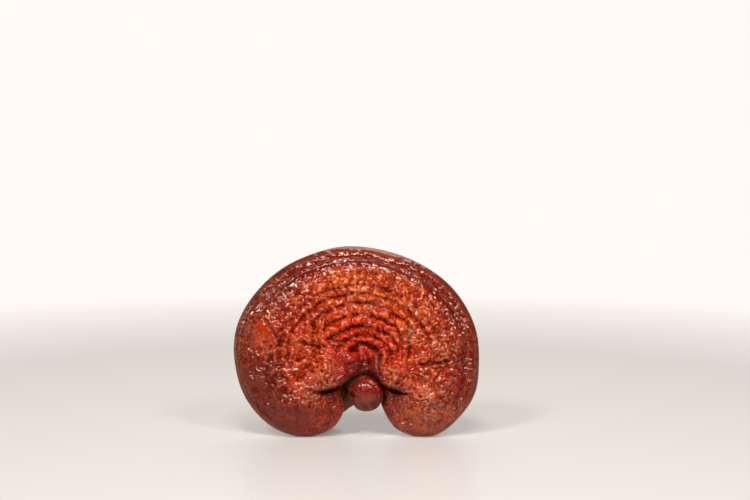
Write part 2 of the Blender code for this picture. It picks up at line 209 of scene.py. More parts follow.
def evenly(curve, count, weight=1):
    """count points of a closed curve, at equal steps of its length times the weight."""
    loop = np.vstack([curve, curve[:1]])
    travelled = np.concatenate([[0], np.cumsum(np.hypot(*np.diff(loop, axis=0).T) * weight)])
    stops = np.arange(count) / count * travelled[-1]
    return np.stack([np.interp(stops, travelled, along) for along in loop.T], axis=1)


def distance_to(line, x, z):
    """How far each point is from the nearest point of a line."""
    nearest = np.full(len(x), np.inf)
    for px, pz in line:
        nearest = np.minimum(nearest, (x - px) ** 2 + (z - pz) ** 2)
    return np.sqrt(nearest)


def crease(x, z, points, width):
    """1 along a line through the points, falling to 0 at about its width to either side."""
    return np.exp(-(distance_to(through(points), x, z) / width) ** 2)


def above_slit(x, z):
    """How far a point lies above its side's slit, and how open the slit is there, from 0 to 1."""
    left, right = np.array(LEFT_SLIT), np.array(RIGHT_SLIT)
    on_left = x < THROAT[0]
    height = np.where(on_left, np.interp(x, *left.T), np.interp(x, *right.T))
    opening = np.where(
        on_left,
        smooth_step(left[0, 0] - SLIT_FADE[0], left[0, 0] + SLIT_FADE[1], x),
        1 - smooth_step(right[-1, 0] - SLIT_FADE[1], right[-1, 0] + SLIT_FADE[0], x),
    )
    return (z - height) * SLIT_SLOPE, opening


def on_outer_rim(rim):
    """Which of the rim's points a boss grows out to: those beside and above it, not in the notch."""
    return (np.abs(rim[:, 0] - THROAT[0]) > BOSS_SIDE) | (rim[:, 1] > BOSS_TOP)


def growth(x, z, rim):
    """How far each point has grown, from 0 at the throat to 1 at the rim, which way, how long its whole
    way is, and where it is to the slits.

    Growth reaches the lobes around the ends of the slits. The way is an angle from straight up.
    """
    over, opening = above_slit(x, z)
    straight = np.hypot(x - THROAT[0], z - THROAT[1])
    around = straight.copy()
    way = np.arctan2(x - THROAT[0], z - THROAT[1])
    for corner, side in ((LEFT_SLIT[0], -1), (RIGHT_SLIT[-1], 1)):
        out_x, out_z = corner[0] - THROAT[0], corner[1] - THROAT[1]
        turn = (x - THROAT[0]) * out_z - (z - THROAT[1]) * out_x
        behind = (side * turn > 0) & (side * (x - THROAT[0]) > 0) & (over < 0)
        past = np.arctan2(x - corner[0], z - corner[1]) - math.atan2(out_x, out_z)
        past = (past + math.pi) % math.tau - math.pi
        around[behind] = math.hypot(out_x, out_z) + np.hypot(x - corner[0], z - corner[1])[behind]
        way[behind] = (math.atan2(out_x, out_z) + past)[behind]
    to_rim = distance_to(rim, x, z)
    to_outer = distance_to(rim[on_outer_rim(rim)], x, z)
    lobe = around / (around + to_rim)
    boss = straight / (straight + to_rim + (to_outer - to_rim) * opening)
    grown = lobe + (boss - lobe) * smooth_step(-SLIT_WALL, SLIT_WALL, over)
    return grown, way, around + to_rim, over, opening


def rounded(from_edge):
    """1 at the rim's outermost line, falling to 0 along a quarter of a circle."""
    t = 1 - np.clip(from_edge / EDGE_ROUND, 0, 1)
    return 1 - np.sqrt(1 - t * t)


def crumpled(x, z, size, layer):
    """Rounded rolls about size millimetres across with sharp valleys between, from about -1 to 1."""
    return np.abs(swell(x, z, size, layer)) * 2.6 - 0.9


def smooth_lumps(x, z):
    """The smooth lumps: their height, where they are, how dark they are, and the seams around them, where
    shade is painted.
    """
    rises, smooth, dark, seam = np.zeros((4, len(x)))
    for block_x, block_z, wide, high, turn, rise, darkness in BLOCKS:
        cos, sin = math.cos(math.radians(turn)), math.sin(math.radians(turn))
        a = ((x - block_x) * cos + (z - block_z) * sin) / wide
        b = ((z - block_z) * cos - (x - block_x) * sin) / high
        out = (np.abs(a) ** 3 + np.abs(b) ** 3) ** (1 / 3)
        top = np.sqrt(np.clip(BLOCK_EDGE - out, 0, 1))
        within = 1 - smooth_step(0.8, 1.2, out)
        rises += rise * top * (1 - smooth_step(0.8, BLOCK_EDGE, out) * 0.5)
        smooth = np.maximum(smooth, within)
        dark = np.maximum(dark, darkness * within)
        if wide < WIDEST_PARTED:
            seam = np.maximum(seam, np.exp(-((out - BLOCK_EDGE) / 0.12) ** 2))
    return rises, smooth, dark, seam


def crust(x, z, rim, from_edge):
    """Height of the lacquered side over the cap's plane, and what its finish follows."""
    grown, way, reach, over, opening = growth(x, z, rim)

    # The zones from throat to rim: inner folds, all that is folded, a belt of small lumps, and smoother skin.
    lobe = smooth_step(0.0, 8.0, -over)
    inner = smooth_step(0.06, 0.2, grown) * (1 - smooth_step(0.48, 0.66, grown))
    folded = smooth_step(0.1, 0.2, grown) * (1 - smooth_step(0.74, 0.86, grown))
    outer = smooth_step(0.76, 0.84, grown)
    belt = smooth_step(0.5, 0.62, grown) * (1 - smooth_step(0.78, 0.86, grown)) * (1 - 0.6 * lobe)
    calm = 1 - 0.8 * lobe
    blocks, smooth, deep, parted = smooth_lumps(x, z)
    red_face = spot(x, z, *RED_FACE)
    rough = 1 - np.maximum(smooth, red_face)
    inner *= rough
    folded *= rough

    # The growth ledges: rounded bands, parted by grooves that wander, fade and come back.
    wavy = grown + 0.010 * swell(x, z, 13, 3) + 0.007 * swell(x, z, 5, 4)
    rings = np.array(GROWTH_RINGS)
    zone = np.clip(np.searchsorted(rings, wavy, side="right") - 1, 0, len(rings) - 2)
    band = rings[zone + 1] - rings[zone]
    along = np.clip((wavy - rings[zone]) / band, 0, 1)
    to_ring = np.minimum(along, 1 - along) * band * reach
    nearest = zone + (along > 0.5)
    present = 0.8 + 0.2 * smooth_step(-0.6, 0.2, swell(way * 5 + nearest * 7.7, grown * 3, 2.2, 6))
    fading = np.where(way < 0, 0.8 + 0.5 * smooth_step(0.35, 0.5, grown), 1.1)
    present *= 1 - 0.75 * smooth_step(0, 0.4, np.abs(way) - fading) * (1 - outer)
    groove = (1 - np.minimum(to_ring / GROOVE_WIDTH, 1)) ** 1.5
    groove_depth = np.take(GROOVE_DEPTHS, nearest)
    bulge = np.take(BAND_BULGES, zone) * (0.7 - np.abs(2 * along - 1) ** 2.5)
    relief = (bulge * present - groove_depth * groove * present) * calm * (0.3 + 0.7 * rough)
    thin = np.exp(-(to_ring / 0.5) ** 2) * present * calm

    # Pleats across each band, other ones on the lobes and at the rim's sides, and folds along the inner bands.
    bend = 1.1 * swell(x, z, 5, 14)
    across = way * (rings[zone] + rings[zone + 1]) / 2 * WHOLE_WAY + 7.3 * zone
    pleat = crumpled(across / PLEAT + bend, zone * 5.3 + grown * 7, 1.0, 15)
    small_pleat = crumpled(across / SMALL_PLEAT + 1.6 * bend, zone * 5.3 + grown * 24, 1.0, 16)
    relief += folded * (1 - 0.5 * lobe) * (0.5 * pleat + 0.14 * small_pleat)
    relief += lobe * 0.3 * crumpled(way * 9 + bend, grown * 14, 1.0, 17)
    relief += lobe * 0.12 * crumpled(way * 4 + bend, grown * 34, 1.0, 27)
    aside = smooth_step(0.7, 1.1, np.abs(way))
    narrow = aside * np.where(way < 0, 1.0, 0.4)
    rim_pleat = crumpled(across / RIM_PLEAT + 0.6 * bend, grown * 9, 1.0, 26)
    relief += 0.22 * outer * aside * (1 - 0.6 * lobe) * rim_pleat
    bent = grown * 26 + 1.2 * swell(x, z, 9, 7) + 0.5 * swell(x, z, 4, 8)
    fold = (1 - np.abs(np.sin(math.pi * bent))) ** 1.6
    relief += inner * calm * (0.2 - 0.9 * fold * smooth_step(-0.3, 0.4, swell(x, z, 8, 9)))

    # A crumple over all of them, stronger in some patches.
    pull_x, pull_z = x + 1.0 * swell(x, z, 4, 18), z + 1.0 * swell(x, z, 4, 19)
    crumple = crumpled(pull_x, pull_z, CRUMPLE, 10)
    small_crumple = crumpled(pull_x, pull_z, SMALL_CRUMPLE, 13)
    fine_crumple = crumpled(x, z, FINE_CRUMPLE, 22)
    relief += (0.3 + 0.12 * inner) * rough * (1 - 0.3 * lobe) * crumple
    ruffle = np.zeros(len(x))
    for ruffle_x, ruffle_z, radius, amount in RUFFLES:
        ruffle = np.maximum(ruffle, amount * spot(x, z, ruffle_x, ruffle_z, radius, radius))
    relief += (0.13 + 0.1 * folded + 0.12 * ruffle) * rough * small_crumple

    # Small lumps in the belt outside the folds, dents in the smoother skin outside that.
    lumps = np.minimum(seams(pull_x, pull_z, LUMP, 20), 0.4) / 0.4
    relief += (0.17 * belt + 0.08 * folded) * (lumps - 0.7)
    streak = crumpled(way * 24 + 0.5 * bend, grown * 9, 1.0, 28)
    relief += 0.14 * belt * streak
    ruffled = outer + belt
    dents = smooth_step(-0.5, 0.3, swell(x, z, 16, 25)) * crumpled(x, z, DENT, 21)
    relief += 0.22 * ruffled * dents
    relief += (0.05 + 0.04 * ruffled + 0.05 * ruffle + 0.05 * lobe) * rough * fine_crumple

    # Where the high places are painted paler, partly as wear and partly as painted highlight, and the low ones
    # darker as painted shade.
    wear_and_painted_light = folded * (0.35 * pleat + 0.35 * small_pleat) + (0.2 + 0.2 * folded) * small_crumple
    wear_and_painted_light += 0.45 * fine_crumple + belt * (0.3 * (lumps - 0.75) + 0.2 * streak)
    wear_and_painted_light *= (1 - 0.5 * lobe) * (1 - 0.4 * outer) * (0.3 + 0.7 * rough)

    # Fine lines, a ridge and a groove along the rim, then the creases and the slits.
    lines = np.sin(math.tau * (from_edge + 0.25 * swell(x, z, 9, 23)) / RIM_LINE)
    near_rim = smooth_step(3.0, 4.5, from_edge) * (1 - smooth_step(8.5, 10.5, from_edge))
    relief += 0.1 * near_rim * lines * (1 - 0.5 * lobe)
    relief += 0.35 * np.exp(-((from_edge - 4.0 + 2.0 * narrow) / (1.5 - 0.6 * narrow)) ** 2)
    relief -= 0.45 * np.exp(-((from_edge - 7.4 + 3.8 * narrow) / 0.7) ** 2)
    creases = np.zeros(len(x))
    for *line, depth, width in GOUGES:
        mark = crease(pull_x, pull_z, line, width)
        relief -= depth * mark
        creases = np.maximum(creases, mark * min(depth / 1.4, 1))
    relief -= CREVICE_DEPTH * opening * np.exp(-((over + 0.5) / CREVICE_WIDTH) ** 2)

    height = np.interp(grown, *np.array(DOME).T) + blocks + relief
    for swell_x, swell_z, radius, rise in SWELLINGS:
        height += rise * spot(x, z, swell_x, swell_z, radius, radius)
    height += (1 - inner) * 0.5 * swell(x, z, 14, 24)
    height = np.maximum(height, EDGE_MIDDLE + EDGE_LEAST)
    height -= (height - EDGE_MIDDLE) * rounded(from_edge)

    # What the finish follows: painted shade in the hollows, the pale lip over each slit, and the darker and
    # warmer places.
    # Painted shade: darker in the creases, the seams between lumps, the slits, the grooves between bands and
    # every low place of the relief.
    painted_shade = np.maximum(0.8 * creases, 0.6 * parted * (1 - deep))
    painted_shade = np.maximum(painted_shade, opening * np.exp(-((over + 0.6) / 0.5) ** 2))
    painted_shade = np.maximum(painted_shade, 0.45 * thin * groove_depth)
    painted_shade = np.maximum(painted_shade, 0.85 * smooth_step(0.0, 1.4, -relief))
    lip = opening * smooth_step(0.0, 0.5, over) * (1 - smooth_step(1.2, 2.6, over))
    beside_stem = smooth_step(7.0, 10.5, np.abs(x - STEM_MIDDLE))
    deep = np.maximum(deep, 0.5 * opening * (over > 0) * (1 - smooth_step(3, 12, over)))
    deep = np.maximum(deep, np.maximum(0.5 * red_face, (1 - beside_stem) * lip))
    warm = belt * smooth_step(-1.2, -0.1, way) * (1 - smooth_step(0.9, 1.7, way))
    return height, {
        "grown": grown, "painted_shade": painted_shade, "painted_crest_light": smooth_step(-0.1, 1.1, relief), "lobe": lobe,
        "lip": lip * beside_stem, "warm": warm, "deep": deep, "wear_and_painted_light": np.clip(0.5 + 0.5 * wear_and_painted_light, 0, 1),
        "narrow": narrow, "red_face": red_face,
    }


def pores(x, z, rim, from_edge):
    """Height of the pore side over the cap's plane, and how far each point has grown from the stem."""
    straight = np.hypot(x - THROAT[0], z - THROAT[1])
    near_stem = straight / (straight + distance_to(rim, x, z))
    grown = near_stem + (growth(x, z, rim)[0] - near_stem) * smooth_step(*BELLY_ROUND, straight)
    height = np.interp(grown, *np.array(BELLY).T)
    height += 0.5 * swell(x, z, 16, 31) + 0.2 * swell(x, z, 5, 32)
    height -= 0.25 * np.maximum(np.sin(math.tau * grown * 6 + swell(x, z, 20, 33)), 0) ** 3
    return height - (height - EDGE_MIDDLE) * rounded(from_edge), grown


def drawn_in(z):
    """How far the growth lines are drawn in towards the notch at a height."""
    return PULL * np.clip((PULL_TOP - z) / PULL_TOP, 0, 1) ** PULL_POWER


def along_line(ends, share):
    """x and z at a share of the way along the growth lines that end at the given rim points."""
    side = np.sign(ends[:, 0] - MIDDLE[0])
    pull = drawn_in(ends[:, 1])
    spread = (np.abs(ends[:, 0] - MIDDLE[0]) + pull) / (1 + pull / PULL_REACH)
    z = MIDDLE[1] + share * (ends[:, 1] - MIDDLE[1])
    pull = drawn_in(z)
    return MIDDLE[0] + side * (share * spread * (1 + pull / PULL_REACH) - pull * (share > 0)), z


def crowded(rows, crowd):
    """Shares of the way along each growth line for its rows, closer together where crowd is high."""
    fine = np.linspace(0, 1, crowd.shape[1])
    travelled = np.cumsum(crowd, axis=1)
    travelled = (travelled - travelled[:, :1]) / (travelled[:, -1:] - travelled[:, :1])
    stops = np.linspace(0, 1, rows + 1)
    return np.array([np.interp(stops, line, fine) for line in travelled])


def corners_of(piece):
    """The places of a piece's corners, one in each row."""
    corners = np.zeros(len(piece.data.vertices) * 3)
    piece.data.vertices.foreach_get("co", corners)
    return corners.reshape(-1, 3)


def ball(name, columns, rows):
    """A new closed ball of rows and columns, and the row and column of each of its corners."""
    bpy.ops.mesh.primitive_cylinder_add(vertices=columns, radius=1, depth=rows - 2, end_fill_type="TRIFAN")
    piece = bpy.context.object
    piece.name = name
    bpy.ops.object.mode_set(mode="EDIT")
    bpy.ops.mesh.select_mode(type="EDGE")
    for cuts in (1, rows // 2 - 2):
        bpy.ops.mesh.select_all(action="DESELECT")
        bpy.ops.object.mode_set(mode="OBJECT")
        ends = np.zeros(len(piece.data.edges) * 2, int)
        piece.data.edges.foreach_get("vertices", ends)
        upright = np.ptp(corners_of(piece)[ends.reshape(-1, 2), 2], axis=1) > 1.5
        piece.data.edges.foreach_set("select", upright)
        bpy.ops.object.mode_set(mode="EDIT")
        bpy.ops.mesh.subdivide(number_cuts=cuts)
    bpy.ops.object.mode_set(mode="OBJECT")
    corners = corners_of(piece)
    row = np.rint(rows / 2 - corners[:, 2]).astype(int)
    row += (np.hypot(corners[:, 0], corners[:, 1]) < 0.5) * np.where(corners[:, 2] > 0, -1, 1)
    turn = np.arctan2(corners[:, 1], corners[:, 0]) / math.tau
    return piece, row, np.rint(turn * columns).astype(int) % columns


def shape(piece, spots, marks):
    """Moves the corners of a piece to their places, and keeps what its finish follows with them."""
    piece.data.vertices.foreach_set("co", (spots * MM).ravel())
    for name, values in marks.items():
        kept = piece.data.attributes.new(name, "FLOAT", "POINT")
        kept.data.foreach_set("value", values.astype(np.float32))
    piece.data.update()
    piece.data.shade_smooth()


rim = through([(x, z * FACE_STRETCH) for x, z in RIM], closed=True)
near_notch = np.exp(-((rim[:, 0] - THROAT[0]) / NOTCH_CROWDING[1]) ** 2) * (rim[:, 1] < BOSS_TOP)
ends = evenly(rim, CAP_COLUMNS, 1 + NOTCH_CROWDING[0] * near_notch)
rim = evenly(rim, RIM_POINTS)
steps = np.linspace(0, 1, LINE_STEPS)
to_end = 1 - steps
crowd = np.ones((CAP_COLUMNS, LINE_STEPS))
for k in range(CAP_COLUMNS):
    over, opening = above_slit(*along_line(ends[k:k + 1], steps))
    crowd[k] += SLIT_CROWDING[0] * opening * np.exp(-(over / SLIT_CROWDING[1]) ** 2)
    crowd[k] += RIM_CROWDING[0] * np.exp(-(to_end / RIM_CROWDING[1]) ** 2)
upper = crowded(UPPER_ROWS, crowd)
under_crowd = 1 + UNDER_RIM_CROWDING[0] * np.exp(-(to_end / UNDER_RIM_CROWDING[1]) ** 2)
under = crowded(UNDER_ROWS, under_crowd[None])[0]

cap, row, column = ball("cap_crust", CAP_COLUMNS, UPPER_ROWS + UNDER_ROWS)
column = -column % CAP_COLUMNS
on_top = row <= UPPER_ROWS
share = np.where(
    on_top,
    upper[column, np.minimum(row, UPPER_ROWS)],
    under[np.minimum(UPPER_ROWS + UNDER_ROWS - row, UNDER_ROWS)],
)
x, z = along_line(ends[column], share)
from_edge = distance_to(rim, x, z) * (row != UPPER_ROWS)
height = np.zeros(len(x))
height[on_top], marks_on_top = crust(x[on_top], z[on_top], rim, from_edge[on_top])
height[~on_top], grown_below = pores(x[~on_top], z[~on_top], rim, from_edge[~on_top])

# What the finish follows, over the whole cap. The lacquer ends in a ragged line on the pore side.
marks = {}
for name, values in marks_on_top.items():
    marks[name] = np.zeros(len(x))
    marks[name][on_top] = values
narrow, red_face = marks.pop("narrow"), marks.pop("red_face")
marks["below"] = np.zeros(len(x))
marks["below"][~on_top] = grown_below
marks["grown"][~on_top] = 1
from_stem = np.hypot(x - STEM_BEHIND[0], z - STEM_BEHIND[1])
bare = smooth_step(2.2, 3.6, from_edge + 0.5 * swell(x, z, 5, 34))
bare *= smooth_step(12, 20, from_stem + 4 * swell(x, z, 9, 36) + 1.5 * swell(x, z, 4, 37))
marks["pored"] = bare * ~on_top
marks["inward"] = np.clip(from_edge / (10 + 5 * smooth_step(24, 10, z)), 0, 1)
marks["girdle"] = distance_to(rim[on_outer_rim(rim)], x, z) / (12 - 7 * narrow)
marks["girdle"] = np.clip(marks["girdle"] + smooth_step(22, 4, z), 0, 1)
marks["dust_and_glint"] = np.zeros(len(x))
for fleck_x, fleck_z, size, amount in PALE_DUST_AND_GLINTS:
    marks["dust_and_glint"] = np.maximum(marks["dust_and_glint"], amount * spot(x, z, fleck_x, fleck_z, size, size) * on_top)

# The places that are darker, warmer or less glossy than the rest.
leaf = spot(x, z, *LEAF) * on_top
right_face = spot(x, z, *RIGHT_FACE) * on_top
right_lobe = marks["lobe"] * smooth_step(15, 30, x)
below_leaf = smooth_step(56, 48, z) * smooth_step(15, 45, -x) * smooth_step(0.56, 0.74, marks["grown"])
left_side = smooth_step(20, 60, -x) * smooth_step(0.62, 0.9, marks["grown"])
right_side = 0.9 * smooth_step(30, 44, x) * smooth_step(0.74, 0.84, marks["grown"]) * on_top
marks["grown"] -= 0.3 * leaf
shoulder = smooth_step(-10, -28, x) * smooth_step(58, 72, z) * smooth_step(0.76, 0.84, marks["grown"]) * on_top
marks["side"] = np.maximum(left_side, below_leaf) * on_top * (1 - 0.9 * leaf)
marks["still"] = np.max(
    (0.9 * marks["lobe"], below_leaf * on_top, leaf, right_face, right_side, 1.2 * red_face), axis=0,
)
marks["still"] = np.maximum(marks["still"] - 0.6 * right_lobe, 1.1 * shoulder)
marks["warm"] = np.maximum(marks["warm"], 0.5 * right_lobe)
marks["deep"] = np.max((marks["deep"], 0.5 * right_face, 0.35 * right_side, 0.5 * shoulder), axis=0)

# The cap leans back, stands level on its two lobes, and goes where the solid's cap is.
y = z * math.sin(LEAN) - height * math.cos(LEAN)
z = z * math.cos(LEAN) + height * math.sin(LEAN)
level = (z[x > 0].min() - z[x < 0].min()) / LOBE_SPACING
z = z - level * x
z = np.maximum(z - z.min() - WORN_FLAT, 0)
node_low, node_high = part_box("cap")
shift_x = (node_low.x + node_high.x) / 2 / MM - (x.min() + x.max()) / 2
shift_y = node_high.y / MM - y.max()
shape(cap, np.stack([x + shift_x, y + shift_y, z], axis=1), marks)


def new_finish(name):
    """A new material, its node maker, its linker and its shader."""
    material = bpy.data.materials.new(name)
    material.use_nodes = True
    tree = material.node_tree
    shader = tree.nodes["Principled BSDF"]

    def add(kind, **settings):
        made = tree.nodes.new(kind)
        for key, value in settings.items():
            setattr(made, key, value)
        return made

    return material, add, tree.links.new, shader


def ramp(add, link, value, stops):
    """A colour for each value, between stops of place and colour. A number is a grey."""
    made = add("ShaderNodeValToRGB")
    bar = made.color_ramp.elements
    while len(bar) < len(stops):
        bar.new(0.5)
    for stop, (place, colour) in zip(bar, stops):
        stop.position = place
        stop.color = (*colour, 1) if isinstance(colour, tuple) else (colour, colour, colour, 1)
    link(value, made.inputs["Fac"])
    return made.outputs["Color"]


def reading(add, name):
    """What the piece's mesh holds under a name."""
    made = add("ShaderNodeAttribute", attribute_name=name)
    return made.outputs["Fac"]


def sums(add, link, kind, *values, clamp=False):
    """A sum, product or other reckoning of sockets and numbers."""
    made = add("ShaderNodeMath", operation=kind, use_clamp=clamp)
    for socket, value in zip(made.inputs, values):
        if isinstance(value, (int, float)):
            socket.default_value = value
        else:
            link(value, socket)
    return made.outputs["Value"]


def blend(add, link, amount, first, second, kind="MIX"):
    """The second colour over the first, by an amount."""
    made = add("ShaderNodeMix", data_type="RGBA", blend_type=kind, clamp_factor=True)
    for socket, value in ((made.inputs[0], amount), (made.inputs[6], first), (made.inputs[7], second)):
        if isinstance(value, tuple):
            socket.default_value = (*value, 1)
        elif isinstance(value, (int, float)):
            socket.default_value = value
        else:
            link(value, socket)
    return made.outputs[2]


def mottle(add, link, place, size, detail, roughness=0.6):
    """A noise over the surface with marks about size millimetres across, from 0 to 1."""
    made = add("ShaderNodeTexNoise")
    made.inputs["Scale"].default_value = 1 / (size * MM)
    made.inputs["Detail"].default_value = detail
    made.inputs["Roughness"].default_value = roughness
    link(place, made.inputs["Vector"])
    return made.outputs["Fac"]


def wandering(add, link, value, mottled, amount, clamp=False):
    """A value that strays after a noise, by up to half the amount either way."""
    stray = sums(add, link, "MULTIPLY_ADD", mottled, amount, -amount / 2)
    return sums(add, link, "ADD", value, stray, clamp=clamp)


def between(add, link, value, low, high):
    """0 below low, 1 above high, and even between."""
    made = add("ShaderNodeMapRange", clamp=True)
    made.inputs["From Min"].default_value = low
    made.inputs["From Max"].default_value = high
    link(value, made.inputs["Value"])
    return made.outputs["Result"]


def bumped(add, link, steps):
    """Fine relief: each step is a height, how deep it is in millimetres, and how strongly it shows."""
    normal = None
    for height, depth, strength in steps:
        made = add("ShaderNodeBump")
        made.inputs["Distance"].default_value = depth * MM
        made.inputs["Strength"].default_value = strength
        link(height, made.inputs["Height"])
        if normal:
            link(normal, made.inputs["Normal"])
        normal = made.outputs["Normal"]
    return normal


# The lacquer runs from red in the throat over orange to maroon at the rim, and is darker on the lobes.
lacquer, add, link, shader = new_finish("lacquered_crust")
place = add("ShaderNodeTexCoord").outputs["Object"]
grown, painted_shade, painted_crest_light, lobe, pored, inward, lip, warm = (
    reading(add, name) for name in ("grown", "painted_shade", "painted_crest_light", "lobe", "pored", "inward", "lip", "warm")
)
dust_and_glint, side, deep, girdle, wear_and_painted_light, still, below = (
    reading(add, name) for name in ("dust_and_glint", "side", "deep", "girdle", "wear_and_painted_light", "still", "below")
)
cloud = mottle(add, link, place, 14, 2)
patch = mottle(add, link, place, 4, 4)
grain = mottle(add, link, place, 1.2, 4, 0.65)
dimples = mottle(add, link, place, 1.7, 2, 0.5)
in_patches = between(add, link, patch, 0.2, 0.55)
zone = wandering(add, link, wandering(add, link, grown, patch, 0.1), cloud, 0.14, clamp=True)
skin = ramp(add, link, zone, (
    (0.00, (0.260, 0.008, 0.002)),
    (0.16, (0.520, 0.016, 0.002)),
    (0.34, (0.520, 0.027, 0.002)),
    (0.48, (0.480, 0.035, 0.002)),
    (0.60, (0.420, 0.028, 0.003)),
    (0.73, (0.310, 0.013, 0.003)),
    (0.80, (0.235, 0.013, 0.005)),
    (0.90, (0.222, 0.012, 0.004)),
    (1.00, (0.210, 0.016, 0.006)),
))
lobes = ramp(add, link, patch, (
    (0.3, (0.185, 0.011, 0.004)), (0.5, (0.240, 0.015, 0.004)), (0.7, (0.310, 0.028, 0.006)),
))
skin = blend(add, link, sums(add, link, "MULTIPLY", lobe, 0.8), skin, lobes)
warm = sums(add, link, "MULTIPLY", warm, between(add, link, patch, 0.25, 0.6))
skin = blend(add, link, warm, skin, (0.490, 0.055, 0.006))
skin = blend(add, link, lobe, skin, ramp(add, link, grain, (
    (0.38, (0.75, 0.70, 0.70)), (0.50, 1.0), (0.64, (1.35, 1.9, 1.6)),
)), "MULTIPLY")
skin = blend(add, link, sums(add, link, "MULTIPLY", side, 0.85), skin, (0.160, 0.021, 0.011))
skin = blend(add, link, sums(add, link, "MULTIPLY", deep, 0.85), skin, (0.140, 0.007, 0.005))

# Blotches; high places painted paler, partly wear and partly painted highlight; low places painted darker as
# painted shade.
skin = blend(add, link, between(add, link, patch, 0.5, 0.7), skin, (1.1, 1.45, 1.25), "MULTIPLY")
skin = blend(add, link, between(add, link, patch, 0.5, 0.32), skin, (0.8, 0.5, 0.6), "MULTIPLY")
skin = blend(add, link, between(add, link, cloud, 0.5, 0.25), skin, (0.7, 0.55, 0.6), "MULTIPLY")
# Painted highlight: the crests of the relief are painted paler.
skin = blend(add, link, painted_crest_light, skin, (1.1, 1.3, 1.1), "MULTIPLY")
# Low places painted darker as painted shade; high places paler, partly wear and partly painted highlight.
skin = blend(add, link, 1.0, skin, ramp(add, link, wear_and_painted_light, (
    (0.20, (0.62, 0.52, 0.55)), (0.38, (0.90, 0.86, 0.88)), (0.50, 1.0), (0.70, (1.15, 1.45, 1.2)),
    (0.90, (1.3, 2.1, 1.7)),
)), "MULTIPLY")
# Pale tips on the highest places: partly wear, partly painted highlight.
tips = sums(add, link, "MULTIPLY", between(add, link, wear_and_painted_light, 0.64, 0.92), 0.2)
skin = blend(add, link, tips, skin, (0.60, 0.20, 0.09))
skin = blend(add, link, between(add, link, grain, 0.45, 0.7), skin, (1.1, 1.2, 1.1), "MULTIPLY")
skin = blend(add, link, between(add, link, dimples, 0.44, 0.3), skin, (0.75, 0.65, 0.65), "MULTIPLY")

# Dark and pale lines run along the rim, some of them with dust in them.
from_rim = wandering(add, link, girdle, cloud, 0.06, clamp=True)
skin = blend(add, link, sums(add, link, "MULTIPLY", in_patches, 0.9), skin, ramp(add, link, from_rim, (
    (0.00, 1.0), (0.12, 0.9), (0.15, (0.4, 0.35, 0.4)), (0.19, (1.05, 1.1, 1.1)), (0.30, 1.0), (0.37, 0.9),
    (0.40, (0.55, 0.5, 0.5)), (0.44, 1.0), (0.58, 0.8), (0.61, (1.3, 2.0, 2.0)), (0.64, 0.5), (0.68, 0.6),
    (0.71, (1.3, 1.9, 1.9)), (0.74, 0.7), (0.86, (0.8, 0.7, 0.7)), (0.90, (0.5, 0.4, 0.4)), (0.96, 1.0),
)), "MULTIPLY")
seams_of_dust = ramp(add, link, from_rim, (
    (0.00, 0.7), (0.03, 0.4), (0.07, 0.0), (0.34, 0.2), (0.38, 0.0), (0.57, 0.0), (0.61, 0.6), (0.65, 0.0),
    (0.68, 0.0), (0.71, 0.5), (0.75, 0.0),
))
dusty = sums(add, link, "MULTIPLY", seams_of_dust, between(add, link, grain, 0.38, 0.62))
skin = blend(add, link, dusty, skin, (0.40, 0.18, 0.10))

# Painted shade in the hollows, pale flecks that are partly dust and partly painted highlight, the pale lip
# over each slit and the worn edge of the rim.
dark = sums(add, link, "MULTIPLY", between(add, link, painted_shade, 0.1, 0.9), 0.9)
skin = blend(add, link, dark, skin, (0.060, 0.006, 0.002))
# Pale flecks, partly dust and partly painted highlight.
pale_dust_and_glint = sums(add, link, "MULTIPLY", dust_and_glint, between(add, link, dimples, 0.5, 0.64))
skin = blend(add, link, pale_dust_and_glint, skin, (0.52, 0.26, 0.12))
skin = blend(add, link, sums(add, link, "MULTIPLY", lip, 0.6), skin, (0.30, 0.12, 0.06))
edge = sums(add, link, "MULTIPLY", between(add, link, inward, 0.06, 0.02), in_patches)
skin = blend(add, link, edge, skin, (0.33, 0.15, 0.08))

# The pore side is bare and buff, with faint bands and fine pinholes.
pored = between(add, link, wandering(add, link, pored, patch, 0.8), 0.2, 0.8)
underside = ramp(add, link, mottle(add, link, place, 11, 5), (
    (0.32, (0.22, 0.115, 0.060)), (0.5, (0.40, 0.25, 0.135)), (0.7, (0.55, 0.38, 0.22)),
))
banding = wandering(add, link, below, patch, 0.08, clamp=True)
underside = blend(add, link, 1.0, underside, ramp(add, link, banding, (
    (0.00, (0.45, 0.35, 0.3)), (0.25, (0.9, 0.86, 0.82)), (0.42, 1.0), (0.47, (0.8, 0.76, 0.72)),
    (0.52, 1.0), (0.66, 1.0), (0.70, (0.82, 0.78, 0.74)), (0.74, 1.0), (0.86, (0.95, 0.93, 0.9)),
    (0.97, (0.6, 0.48, 0.4)),
)), "MULTIPLY")
pinholes = between(add, link, mottle(add, link, place, 0.35, 1, 0.4), 0.5, 0.38)
underside = blend(add, link, pinholes, underside, (0.55, 0.48, 0.42), "MULTIPLY")
skin = blend(add, link, pored, skin, underside)
link(skin, shader.inputs["Base Color"])

